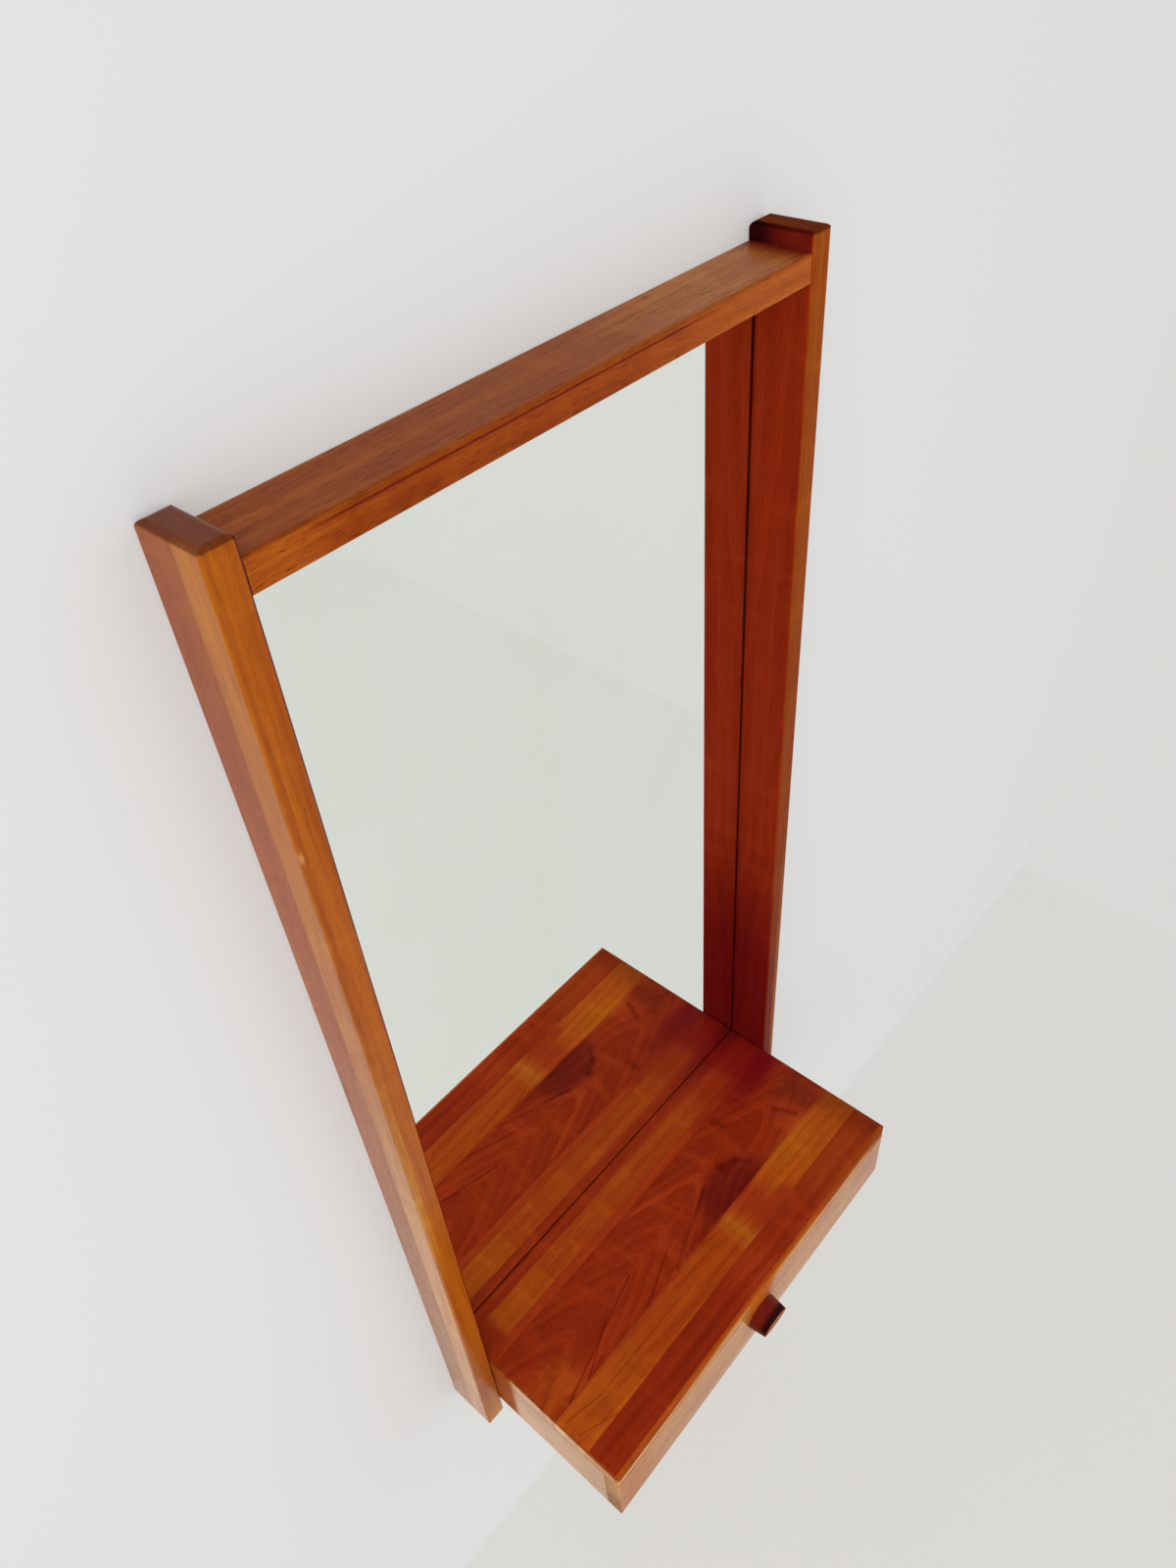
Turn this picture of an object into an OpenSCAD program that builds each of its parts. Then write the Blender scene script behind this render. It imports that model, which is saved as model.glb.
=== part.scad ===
// Wall mirror with a shelf and one drawer below it, in solid wood.
// Sizes are in millimetres. X runs to the right along the wall, Y runs into the wall, Z is up.
// The wall is the plane y = 0, so every piece lies at y <= 0 and the front faces -Y.
// The origin is on the wall, midway between the entry holes of the two keyhole hangers.

/* [Frame] */
// Overall width across the two stiles
frame_w = 450; // [400:1:600]
// Length of a stile
stile_h = 927; // [800:1:1100]
// Thickness of the stiles and of the top rail
stock_t = 18.5; // [18:0.5:22]
// Depth of a stile, from the wall to its front
stile_d = 47; // [42:1:60]
// Depth of the top rail, which stands a little behind the fronts of the stiles
rail_d = 46; // [38:1:56]
// Height of the stile tops above the top rail
stile_over_rail = 12; // [8:1:30]
// Height of the stile tops above the hangers' entry holes
hanger_drop = 87; // [80:1:140]

/* [Mirror] */
// Thickness of the glass
glass_t = 3; // [3:0.5:4]
// Thickness of the hardboard behind the glass
backing_t = 2.5; // [2.5:0.5:3.5]
// Width that the rabbet holds of the glass on each side
glass_lap = 4.5; // [4:0.5:4.5]
// Diameter of the pins that hold the backing in the rabbet
pin_d = 1.2; // [1:0.1:1.6]

/* [Drawer case] */
// Height of the shelf's top above the bottom ends of the stiles
shelf_up = 109; // [100:1:160]
// Depth of the shelf and case from the wall to the drawer front's face
case_d = 192; // [170:1:240]
// Height of the case, shelf board included
case_h = 83.5; // [80:0.5:95]
// Thickness of the shelf board
shelf_t = 16; // [14:0.5:18]
// Thickness of the case sides
case_side_t = 12; // [12:0.5:14]
// Thickness of the case back
case_back_t = 12; // [12:0.5:14]
// Thickness of the case bottom
case_bottom_t = 5; // [4:0.5:6]

/* [Drawer] */
// Thickness of the drawer front
front_t = 15; // [14:0.5:18]
// Gap between the shelf board and the drawer front
front_gap = 1.2; // [0.8:0.1:2]
// Thickness of the drawer sides
drawer_side_t = 12; // [12:0.5:13]
// Thickness of the drawer back
drawer_back_t = 10; // [8:0.5:12]
// Thickness of the drawer bottom
drawer_bottom_t = 4; // [3:0.5:5]
// Gap between a drawer side and the case side next to it
drawer_gap = 0.5; // [0.4:0.1:1]

/* [Pull] */
// Width of the pull where it meets the drawer front
pull_w = 37; // [30:1:40]
// Distance that the pull stands out from the drawer front
pull_d = 17.5; // [15:0.5:22]
// Height of the pull in its middle
pull_h = 20; // [18:0.5:24]
// Depth of the pull's highest point below the shelf's top
pull_drop = 31; // [28:1:36]
// Place of the pull, left of the drawer front's middle
pull_left = 4.5; // [0:0.5:10]

/* [Hidden] */
$fn = 48;
bite = 1;              // length by which a cut runs past the face it opens
outer_x = frame_w / 2;
inner_x = outer_x - stock_t;
stile_top = hanger_drop;
stile_bottom = stile_top - stile_h;
rail_top = stile_top - stile_over_rail;
rail_bottom = rail_top - stock_t;

// Glass, backing and pins fill the rabbet from its front to the wall
pin_free = 0.1;        // distance of the pins from the wall
rabbet_d = glass_t + backing_t + pin_d + pin_free;
glass_y = -rabbet_d;
backing_y = glass_y + glass_t;
pin_y = backing_y + backing_t + pin_d / 2;
edge_free = 0.2;       // room round the glass and backing in the rabbet
pin_len = 12;
pin_bite = pin_len / 2;
pin_rows = 5;

// Case
shelf_top = stile_bottom + shelf_up;
shelf_under = shelf_top - shelf_t;
case_bottom_z = shelf_top - case_h;
front_y = -case_d;
case_front_y = front_y + front_t;
case_in_x = inner_x - case_side_t;
panel_up = 3;          // height of the case bottom above the lower edges
panel_z = case_bottom_z + panel_up;
case_floor = panel_z + case_bottom_t;
panel_groove = 5;
panel_free = 0.2;

// Drawer
drawer_out_x = case_in_x - drawer_gap;
drawer_in_x = drawer_out_x - drawer_side_t;
drawer_low = case_floor + 2;
drawer_high = shelf_under - 3;
drawer_rear = -case_back_t - 6;
housing = 5;           // depth to which the drawer sides are let into the front
bottom_up = 6;         // height of the drawer bottom above the drawer sides' lower edges
bottom_z = drawer_low + bottom_up;
bottom_groove = 4;
bottom_free = 0.1;
back_inset = 6;        // distance of the drawer back from the rear ends of the sides
back_rear = drawer_rear - back_inset;
back_front = back_rear - drawer_back_t;

// Runners, strips on the case sides in grooves of the drawer sides
runner_t = 5;
runner_h = 9;
runner_free = 0.25;
runner_z = (drawer_low + drawer_high) / 2;
runner_groove = runner_t + 0.2;
runner_front = case_front_y + 2;
runner_rear = -case_back_t - 2;

// Hangers
hanger_x = outer_x - 7;
plate_t = 1.8;
plate_r = 5.5;
entry_r = 4;
slot_r = 2.1;
slot_rise = 11;
plate_screw_low = -10.5;
plate_screw_high = 19.5;
pocket_r = 4.6;
pocket_d = 7;

// Fasteners: shank diameter, head diameter, length
stile_screw = [4, 7.6, 26];
runner_screw = [3, 5.6, 14];
plate_screw = [2.4, 4.6, 12];
pull_screw = [3.5, 6.6, 25];

teak = "#a65a23";
dark_teak = "#5d1c10";
beech = "#d3ae7c";

// ---------- shared shapes ----------

// Rectangle with rounded corners; radii start at the low corner and go anticlockwise
module rounded_square(low, high, radii) {
  polygon([
    [low.x + radii[0], low.y], [high.x - radii[1], low.y],
    [high.x, low.y + radii[1]], [high.x, high.y - radii[2]],
    [high.x - radii[2], high.y], [low.x + radii[3], high.y],
    [low.x, high.y - radii[3]], [low.x, low.y + radii[0]]]);
  translate([low.x + radii[0], low.y + radii[0]]) circle(radii[0]);
  translate([high.x - radii[1], low.y + radii[1]]) circle(radii[1]);
  translate([high.x - radii[2], high.y - radii[2]]) circle(radii[2]);
  translate([low.x + radii[3], high.y - radii[3]]) circle(radii[3]);
}

// Outline drawn in Y and Z, carried along X
module along_x(from, to) {
  translate([from, 0, 0]) rotate([90, 0, 90]) linear_extrude(to - from) children();
}

// Outline drawn in X and Z, carried along Y
module along_y(from, to) {
  translate([0, to, 0]) rotate([90, 0, 0]) linear_extrude(to - from) children();
}

// Outline drawn in X and Y, carried along Z
module along_z(from, to) {
  translate([0, 0, from]) linear_extrude(to - from) children();
}

// Box between two corners
module block(low, high) {
  translate(low) cube(high - low);
}

// Board with eased edges: what its plan, its side view and its front view have in common
module board(low, high, plan_r, side_r, front_r) {
  intersection() {
    along_z(low.z, high.z) rounded_square([low.x, low.y], [high.x, high.y], plan_r);
    along_x(low.x, high.x) rounded_square([low.y, low.z], [high.y, high.z], side_r);
    along_y(low.y, high.y) rounded_square([low.x, low.z], [high.x, high.z], front_r);
  }
}

// Countersunk wood screw: the head's face is at z = 0 and the tip points down
module screw_body(size) {
  head_h = (size[1] - size[0]) / 2;
  tip_h = size[0];
  translate([0, 0, -head_h]) cylinder(h = head_h, d1 = size[0], d2 = size[1]);
  translate([0, 0, tip_h - size[2]]) cylinder(h = size[2] - head_h - tip_h, d = size[0]);
  translate([0, 0, -size[2]]) cylinder(h = tip_h, d1 = size[0] / 5, d2 = size[0]);
}

// The same screw with the slot in its head
module slotted_screw(size) {
  difference() {
    screw_body(size);
    translate([-size[1], -size[1] / 16, -size[1] / 7]) cube([size[1] * 2, size[1] / 8, size[1]]);
  }
}

// Turns a screw so that its head faces the wall, or the middle of the case
module head_to_wall() { rotate([-90, 0, 0]) children(); }
module head_to_middle() { rotate([0, -90, 0]) children(); }

// Copies a right-hand shape to the left
module left() { mirror([1, 0, 0]) children(); }
module both() {
  children();
  left() children();
}

// ---------- places of the fasteners, right-hand side ----------

// Two dowels from the stile into the end of the top rail
module rail_dowel_pair() {
  for (y = [-15, -33])
    translate([inner_x - 19, y, (rail_top + rail_bottom) / 2]) rotate([0, 90, 0]) cylinder(h = 30, d = 8);
}

// Pins in the stile's rabbet, clear of the hanger
module side_pins() {
  first = rail_bottom - 20;
  step = (first - shelf_top - 50) / (pin_rows - 1);
  for (i = [0:pin_rows - 1])
    translate([inner_x + glass_lap - pin_bite, pin_y, first - i * step])
      rotate([0, 90, 0]) cylinder(h = pin_len, d = pin_d);
}

// Pins in the rabbets of the top rail and of the shelf board
module end_pins(z) {
  for (x = [-0.6, 0, 0.6])
    translate([x * inner_x, pin_y, z - pin_bite]) cylinder(h = pin_len, d = pin_d);
}
module rail_pins() { end_pins(rail_bottom + glass_lap); }
module shelf_pins() { end_pins(shelf_top - glass_lap); }

// Dowels that stand in the top edge of the case side
module shelf_dowel_row() {
  for (y = [-35, -100, -160])
    translate([inner_x - case_side_t / 2, y, shelf_under - 15]) cylinder(h = 24, d = 6);
}

// Dowels from the case side into the end of the case back
module back_dowel_pair() {
  for (z = [shelf_under - 16, case_floor + 8])
    translate([case_in_x - 14, -case_back_t / 2, z]) rotate([0, 90, 0]) cylinder(h = 22, d = 6);
}

// Places of the screws that hold the case side to the stile
module at_stile_screws() {
  for (y = [-20, -37])
    translate([case_in_x, y, drawer_low + 15]) head_to_middle() children();
}

// Places of the screws that hold the runner to the case side
module at_runner_screws() {
  for (y = [runner_rear - 22, runner_front + 22])
    translate([case_in_x - runner_t, y, runner_z]) head_to_middle() children();
}

// Places of the screws that hold the hanger plate
module at_plate_screws() {
  for (z = [plate_screw_low, plate_screw_high])
    translate([hanger_x, 0, z]) head_to_wall() children();
}

// Places of the screws from inside the drawer into the pull
module at_pull_screws() {
  for (x = [-8, 8])
    translate([x - pull_left, case_front_y, shelf_top - pull_drop - pull_h / 2])
      head_to_wall() children();
}

// ---------- frame ----------

// Upright slot with round ends, for the hanger and what it needs in the stile
module hanger_slot(r, low, high, from, to) {
  along_y(from, to) {
    translate([hanger_x, low]) circle(r);
    translate([hanger_x, high]) circle(r);
    translate([hanger_x - r, low]) square([2 * r, high - low]);
  }
}

module stile() {
  color(teak) difference() {
    board([inner_x, -stile_d, stile_bottom], [outer_x, 0, stile_top],
      [2, 2, 1, 1], [3.5, 3, 7, 3.5], [3.5, 3.5, 4, 4]);
    block([inner_x - bite, glass_y, shelf_top - glass_lap],
      [inner_x + glass_lap, bite, rail_bottom + glass_lap]);
    hanger_slot(plate_r + 0.1, plate_screw_low, plate_screw_high, -plate_t, bite);
    hanger_slot(pocket_r, 0, slot_rise, -plate_t - pocket_d, 0);
    rail_dowel_pair();
    side_pins();
    at_stile_screws() screw_body(stile_screw);
    at_plate_screws() screw_body(plate_screw);
  }
}
module right_stile() { stile(); }
module left_stile() { left() stile(); }

module top_rail() {
  color(teak) difference() {
    along_x(-inner_x, inner_x)
      rounded_square([-rail_d, rail_bottom], [0, rail_top], [1.2, 0.6, 1.2, 3]);
    block([-inner_x - bite, glass_y, rail_bottom - bite],
      [inner_x + bite, bite, rail_bottom + glass_lap]);
    both() rail_dowel_pair();
    rail_pins();
  }
}

module rail_dowels() { color(beech) both() rail_dowel_pair(); }

// ---------- mirror ----------

// Sheet that fills the rabbet all round, less a little room at its edges
module rabbet_sheet(back_y, thickness) {
  reach = glass_lap - edge_free;
  block([-inner_x - reach, back_y, shelf_top - reach],
    [inner_x + reach, back_y + thickness, rail_bottom + reach]);
}
module mirror_glass() { color("#dfe5e1") rabbet_sheet(glass_y, glass_t); }
module backing_panel() { color("#7b5a3c") rabbet_sheet(backing_y, backing_t); }

module glazing_pins() {
  color("#b9a26a") {
    both() side_pins();
    rail_pins();
    shelf_pins();
  }
}

// ---------- hangers ----------

module hanger_plate() {
  color("#b08d4a") difference() {
    hanger_slot(plate_r, plate_screw_low, plate_screw_high, -plate_t, 0);
    hanger_slot(slot_r, 0, slot_rise, -plate_t - bite, bite);
    translate([hanger_x, bite, 0]) rotate([90, 0, 0]) cylinder(h = plate_t + 2 * bite, r = entry_r);
    at_plate_screws() screw_body(plate_screw);
  }
}
module right_hanger_plate() { hanger_plate(); }
module left_hanger_plate() { left() hanger_plate(); }
module hanger_screws() { color("#b08d4a") both() at_plate_screws() slotted_screw(plate_screw); }

// ---------- drawer case ----------

module shelf_board() {
  color(teak) difference() {
    board([-inner_x, front_y, shelf_under], [inner_x, 0, shelf_top],
      [2, 2, 0.5, 0.5], [1.5, 0.5, 0.5, 2.5], [0.8, 0.8, 2.5, 2.5]);
    block([-inner_x - bite, glass_y, shelf_top - glass_lap], [inner_x + bite, bite, shelf_top + bite]);
    both() shelf_dowel_row();
    shelf_pins();
  }
}

module case_side() {
  color(teak) difference() {
    board([case_in_x, case_front_y, case_bottom_z], [inner_x, 0, shelf_under],
      [0.5, 0.5, 0.5, 0.5], [0.8, 0.8, 0.5, 0.5], [0.8, 1, 0.5, 0.5]);
    block([case_in_x - bite, case_front_y - bite, panel_z],
      [case_in_x + panel_groove, -case_back_t + panel_groove, case_floor]);
    shelf_dowel_row();
    back_dowel_pair();
    at_stile_screws() screw_body(stile_screw);
    at_runner_screws() screw_body(runner_screw);
  }
}
module case_right_side() { case_side(); }
module case_left_side() { left() case_side(); }

module case_back() {
  color(teak) difference() {
    block([-case_in_x, -case_back_t, case_bottom_z], [case_in_x, 0, shelf_under]);
    block([-case_in_x - bite, -case_back_t - bite, panel_z],
      [case_in_x + bite, -case_back_t + panel_groove, case_floor]);
    both() back_dowel_pair();
  }
}

module case_bottom() {
  reach = panel_groove - panel_free;
  color(beech) block([-case_in_x - reach, case_front_y + 3, panel_z],
    [case_in_x + reach, -case_back_t + reach, case_floor]);
}

module shelf_dowels() { color(beech) both() shelf_dowel_row(); }
module case_back_dowels() { color(beech) both() back_dowel_pair(); }
module stile_screws() { color("#b9a26a") both() at_stile_screws() slotted_screw(stile_screw); }

// ---------- runners ----------

module runner() {
  color(beech) difference() {
    board([case_in_x - runner_t, runner_front, runner_z - runner_h / 2],
      [case_in_x, runner_rear, runner_z + runner_h / 2],
      [2.5, 0.4, 0.4, 1], [0.4, 0.4, 0.4, 0.4], [0.6, 0.4, 0.4, 0.6]);
    at_runner_screws() screw_body(runner_screw);
  }
}
module right_runner() { runner(); }
module left_runner() { left() runner(); }
module runner_screws() { color("#b9a26a") both() at_runner_screws() slotted_screw(runner_screw); }

// ---------- drawer ----------

module drawer_front() {
  color(teak) difference() {
    board([-inner_x, front_y, case_bottom_z], [inner_x, case_front_y, shelf_under - front_gap],
      [1.2, 1.2, 0.5, 0.5], [1.2, 0.5, 0.5, 1], [1.2, 1.2, 1, 1]);
    both() block([drawer_in_x, case_front_y - housing, drawer_low],
      [drawer_out_x, case_front_y + bite, drawer_high]);
    block([-drawer_in_x - bottom_groove, case_front_y - bottom_groove, bottom_z],
      [drawer_in_x + bottom_groove, case_front_y + bite, bottom_z + drawer_bottom_t]);
    at_pull_screws() screw_body(pull_screw);
  }
}

module drawer_side() {
  color(beech) difference() {
    board([drawer_in_x, case_front_y - housing, drawer_low], [drawer_out_x, drawer_rear, drawer_high],
      [0.4, 0.4, 1, 1], [0.4, 1, 1, 0.4], [0.6, 0.6, 1.5, 1.5]);
    block([drawer_out_x - runner_groove, case_front_y, runner_z - runner_h / 2 - runner_free],
      [drawer_out_x + bite, drawer_rear + bite, runner_z + runner_h / 2 + runner_free]);
    block([drawer_in_x - bite, case_front_y - housing - bite, bottom_z],
      [drawer_in_x + bottom_groove, drawer_rear + bite, bottom_z + drawer_bottom_t]);
    block([drawer_in_x - bite, back_front, bottom_z],
      [drawer_in_x + bottom_groove, back_rear, drawer_high + bite]);
  }
}
module drawer_right_side() { drawer_side(); }
module drawer_left_side() { left() drawer_side(); }

module drawer_back() {
  reach = drawer_in_x + bottom_groove;
  color(beech) block([-reach, back_front, bottom_z + drawer_bottom_t], [reach, back_rear, drawer_high - 2]);
}

module drawer_bottom() {
  reach = drawer_in_x + bottom_groove - bottom_free;
  color(beech) block([-reach, case_front_y - bottom_groove + bottom_free, bottom_z],
    [reach, drawer_rear - 1, bottom_z + drawer_bottom_t]);
}

// Arched top that falls towards the front, a belly below, and a plan that narrows to the front
module drawer_pull() {
  top = shelf_top - pull_drop;
  half = pull_w / 2;
  arch_r = half + 2.5;
  arch_fall = 16;
  belly_r = 40;
  belly_rise = 6;
  narrowing = 2;
  color(dark_teak) translate([-pull_left, front_y, 0]) difference() {
    intersection() {
      along_z(top - pull_h - bite, top + bite) polygon([
        [-half, 0], [-half + narrowing, -pull_d], [half - narrowing, -pull_d], [half, 0]]);
      translate([0, 0, top]) rotate([arch_fall, 0, 0]) along_y(-2 * pull_d, pull_d)
        translate([0, -arch_r]) circle(arch_r);
      translate([0, 0, top - pull_h]) rotate([-belly_rise, 0, 0]) along_y(-2 * pull_d, pull_d)
        translate([0, belly_r]) circle(belly_r);
    }
    translate([pull_left, -front_y, 0]) at_pull_screws() screw_body(pull_screw);
  }
}

module pull_screws() { color("#b9a26a") at_pull_screws() slotted_screw(pull_screw); }

// ---------- the pieces ----------

left_stile();
right_stile();
top_rail();
rail_dowels();
mirror_glass();
backing_panel();
glazing_pins();
left_hanger_plate();
right_hanger_plate();
hanger_screws();
shelf_board();
case_left_side();
case_right_side();
case_back();
case_bottom();
shelf_dowels();
case_back_dowels();
stile_screws();
left_runner();
right_runner();
runner_screws();
drawer_front();
drawer_left_side();
drawer_right_side();
drawer_back();
drawer_bottom();
drawer_pull();
pull_screws();
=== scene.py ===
"""Finishes the wall mirror with its shelf and drawer, and sets up its room, lamp and camera.

All lengths are in metres. X runs to the right, Y into the wall and Z up, with the origin on the
wall, midway between the two hanging points.
"""
import math
from collections import namedtuple

import bpy
from mathutils import Matrix, Vector


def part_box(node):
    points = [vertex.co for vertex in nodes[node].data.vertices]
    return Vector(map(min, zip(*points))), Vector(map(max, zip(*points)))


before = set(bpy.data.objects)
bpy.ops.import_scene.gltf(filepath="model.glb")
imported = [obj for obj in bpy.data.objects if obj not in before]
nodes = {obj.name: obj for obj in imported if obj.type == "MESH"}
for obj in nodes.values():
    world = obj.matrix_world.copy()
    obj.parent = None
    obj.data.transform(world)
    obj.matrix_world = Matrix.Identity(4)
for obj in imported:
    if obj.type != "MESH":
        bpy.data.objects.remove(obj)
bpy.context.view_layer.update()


def linear(red, green, blue):
    """The linear colour of an sRGB colour given in 0 to 255."""
    def channel(value):
        value = value / 255.0
        if value <= 0.04045:
            return value / 12.92
        return ((value + 0.055) / 1.055) ** 2.4
    return (channel(red), channel(green), channel(blue), 1.0)


def scaled(colour, factor):
    """A linear colour made lighter or darker."""
    return tuple(channel * factor for channel in colour[:3]) + (1.0,)


class Shader:
    """A node material, with short ways to add nodes and join them."""

    def __init__(self, name):
        self.material = bpy.data.materials.new(name)
        self.material.use_nodes = True
        self.tree = self.material.node_tree
        self.tree.nodes.clear()
        self.coordinates = self.add("ShaderNodeTexCoord")
        self.place = self.coordinates.outputs["Object"]
        self.normal = self.coordinates.outputs["Normal"]

    def add(self, kind, **settings):
        node = self.tree.nodes.new(kind)
        for key, value in settings.items():
            setattr(node, key, value)
        return node

    def set(self, socket, value):
        """Joins value to socket if it is a socket, and otherwise stores it there."""
        if isinstance(value, bpy.types.NodeSocket):
            self.tree.links.new(value, socket)
        else:
            socket.default_value = value

    def math(self, operation, *values, clamp=False):
        node = self.add("ShaderNodeMath", operation=operation, use_clamp=clamp)
        for socket, value in zip(node.inputs, values):
            self.set(socket, value)
        return node.outputs[0]

    def split(self, vector):
        node = self.add("ShaderNodeSeparateXYZ")
        self.set(node.inputs[0], vector)
        return node.outputs

    def square(self, value):
        if isinstance(value, float):
            return value ** 2
        return self.math("POWER", value, 2.0)

    def length(self, first, second):
        """The length of a line in a plane, from its two parts."""
        return self.math("SQRT", self.math("ADD", self.square(first), self.square(second)))

    def join(self, x, y, z):
        node = self.add("ShaderNodeCombineXYZ")
        for socket, value in zip(node.inputs, (x, y, z)):
            self.set(socket, value)
        return node.outputs[0]

    def stretch(self, vector, scale):
        """vector scaled on each axis."""
        node = self.add("ShaderNodeVectorMath", operation="MULTIPLY")
        self.set(node.inputs[0], vector)
        self.set(node.inputs[1], scale)
        return node.outputs[0]

    def noise(self, vector, scale, detail=2.0, roughness=0.5, distortion=0.0):
        """Soft noise that repeats about scale times a metre on each axis of vector."""
        node = self.add("ShaderNodeTexNoise")
        self.set(node.inputs["Vector"], self.stretch(vector, scale))
        self.set(node.inputs["Scale"], 1.0)
        self.set(node.inputs["Detail"], detail)
        self.set(node.inputs["Roughness"], roughness)
        self.set(node.inputs["Distortion"], distortion)
        return node.outputs[0]

    def fade(self, value, start, end, low=0.0, high=1.0):
        """low where value is at start, high where it is at end, with a smooth step between."""
        node = self.add("ShaderNodeMapRange", interpolation_type="SMOOTHSTEP")
        self.set(node.inputs["Value"], value)
        self.set(node.inputs["From Min"], start)
        self.set(node.inputs["From Max"], end)
        self.set(node.inputs["To Min"], low)
        self.set(node.inputs["To Max"], high)
        return node.outputs[0]

    def steps(self, value, stops):
        """The colour and the alpha of the last stop that value has passed."""
        node = self.add("ShaderNodeValToRGB")
        node.color_ramp.interpolation = "CONSTANT"
        elements = node.color_ramp.elements
        while len(elements) > 1:
            elements.remove(elements[-1])
        elements[0].position = stops[0][0]
        elements[0].color = stops[0][1]
        for position, colour in stops[1:]:
            elements.new(position).color = colour
        self.set(node.inputs[0], value)
        return node.outputs["Color"], node.outputs["Alpha"]

    def mix(self, amount, first, second, blend="MIX"):
        node = self.add("ShaderNodeMix", data_type="RGBA", blend_type=blend)
        self.set(node.inputs[0], amount)
        self.set(node.inputs[6], first)
        self.set(node.inputs[7], second)
        return node.outputs[2]

    def cover(self, colour, over, mask, strength):
        """colour with over mixed in where mask is 1, as strongly as strength says."""
        return self.mix(self.math("MULTIPLY", mask, strength), colour, over)

    def times(self, colour, factors):
        """colour with its channels multiplied by factors."""
        return self.mix(1.0, colour, factors, "MULTIPLY")

    def tint(self, amount, colour, factors):
        """colour with its channels multiplied by factors, as far as amount says."""
        return self.mix(amount, colour, self.times(colour, factors))

    def bump(self, height, strength, distance):
        node = self.add("ShaderNodeBump")
        self.set(node.inputs["Strength"], strength)
        self.set(node.inputs["Distance"], distance)
        self.set(node.inputs["Height"], height)
        return node.outputs[0]

    def blend_surfaces(self, amount, first, second):
        node = self.add("ShaderNodeMixShader")
        for socket, value in zip(node.inputs, (amount, first, second)):
            self.set(socket, value)
        return node.outputs[0]

    def end_in(self, surface):
        """Ends the material in a surface, and gives the material."""
        output = self.add("ShaderNodeOutputMaterial")
        self.set(output.inputs["Surface"], surface)
        return self.material

    def finish(self, **inputs):
        """Ends the material in one Principled surface with these inputs."""
        surface = self.add("ShaderNodeBsdfPrincipled")
        for key, value in inputs.items():
            self.set(surface.inputs[key.replace("_", " ")], value)
        return self.end_in(surface.outputs[0])


def edge_distance(s, low, high):
    """Distance along the surface of a box-shaped piece to its nearest edge."""
    gaps = []
    for axis, coordinate in enumerate(s.split(s.place)):
        from_low = s.math("SUBTRACT", coordinate, low[axis])
        from_high = s.math("SUBTRACT", high[axis], coordinate)
        gaps.append(s.math("MINIMUM", from_low, from_high))
    smaller = s.math("MINIMUM", gaps[0], gaps[1])
    larger = s.math("MAXIMUM", gaps[0], gaps[1])
    return s.math("MAXIMUM", smaller, s.math("MINIMUM", larger, gaps[2]))


def grain_space(s, grain):
    """A place across, into and along the grain, and how far its face turns towards the end."""
    x, y, z = s.split(s.place)
    facing_x, facing_y, facing_z = s.split(s.normal)
    turned = {"X": (y, z, x, facing_x), "Y": (x, z, y, facing_y), "Z": (x, y, z, facing_z)}
    across, depth, along, end = turned[grain]
    return across, depth, along, s.math("ABSOLUTE", end)


# ---------------------------------------------------------------- hardwood
# Colour of what the lacquer mirrors, half the width of a glue line, how far in from its edges a
# board is lightened, partly by wear and partly as painted light on its rounded edges, the depth of
# pores and fibres, and the softness of a sharp limit on each axis
LACQUER_TINT = (1.0, 0.72, 0.36, 1.0)
HALF_GLUE_LINE = 0.00035
WORN_AND_LIT_WIDTH = 0.0024
RELIEF_DEPTH = 0.00012
CRISP = (0.0005, 0.0005, 0.0005)

# Growth rings: how far below a face their centre lies, how far they bend and ripple, how much
# closer the fine ones are, and how much their place shifts with the depth in the board
RING_DEPTH = 0.012
BEND_DEPTH = 0.016
RIPPLE_DEPTH = 0.0035
FINE_RING = 0.27
RING_TILT = 0.35

# How often a feature repeats per metre: across the grain, down into the wood and along the grain
BEND = (10.0, 10.0, 5.0)
RIPPLE = (60.0, 60.0, 14.0)
STREAKS = (150.0, 150.0, 4.5)
FIBRES = (1100.0, 1100.0, 34.0)
PORES = (1700.0, 1700.0, 110.0)
CLOUDS = (22.0, 22.0, 7.0)
SHIMMER = (14.0, 14.0, 38.0)
HANDLING = (26.0, 26.0, 11.0)
WORN_AND_LIT_PATCHES = (55.0, 55.0, 55.0)
BROAD_RINGS = (75.0, 1.0, 1.2)

# What a feature does to the red, green and blue of the wood
LATE_WOOD = (0.62, 0.42, 0.55, 1.0)
EARLY_WOOD = (1.22, 1.42, 1.3, 1.0)
PORE = (0.35, 0.25, 0.3, 1.0)
MARK = (0.5, 0.32, 0.4, 1.0)
# Lightened edges: partly wear, partly painted light on the rounded edges
WORN_AND_LIT_EDGE = (1.35, 2.1, 1.6, 1.0)
SOFT_END = (0.45, 0.38, 0.6, 1.0)
DARK_END = (0.38, 0.30, 0.57, 1.0)
PALE_END = (0.76, 0.74, 0.70, 1.0)
PLAIN_END = (1.0, 1.0, 1.0, 1.0)

# Each stave takes its figure from another part of the noise, a step further on
FIRST_SHIFT = 0.11
SHIFT_STEP = 0.37
SHIFT_RANGE = 3.0

# The numbers of a stave are stored as a colour, which holds 0 to 1, with these widths of range
CENTRE_RANGE = 0.5
LEAN_RANGE = 0.5

# One of the strips that a board is glued up from. limit is its upper side on the axis across
# the board, and None for the last one. figure is how clearly its growth rings show, centre where
# they are centred across the grain, and lean how fast they drift along it
Stave = namedtuple("Stave", "limit colour figure centre lean")

# A knot in a board that lies flat: its middle, its size along Y, how far it pushes the growth
# rings aside, and the limits on Y inside which it is dark
Knot = namedtuple("Knot", "x y radius push limits")

# A knot is longer along X, where a distance from its middle counts for this share
KNOT_SHORTENING = 0.6


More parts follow.
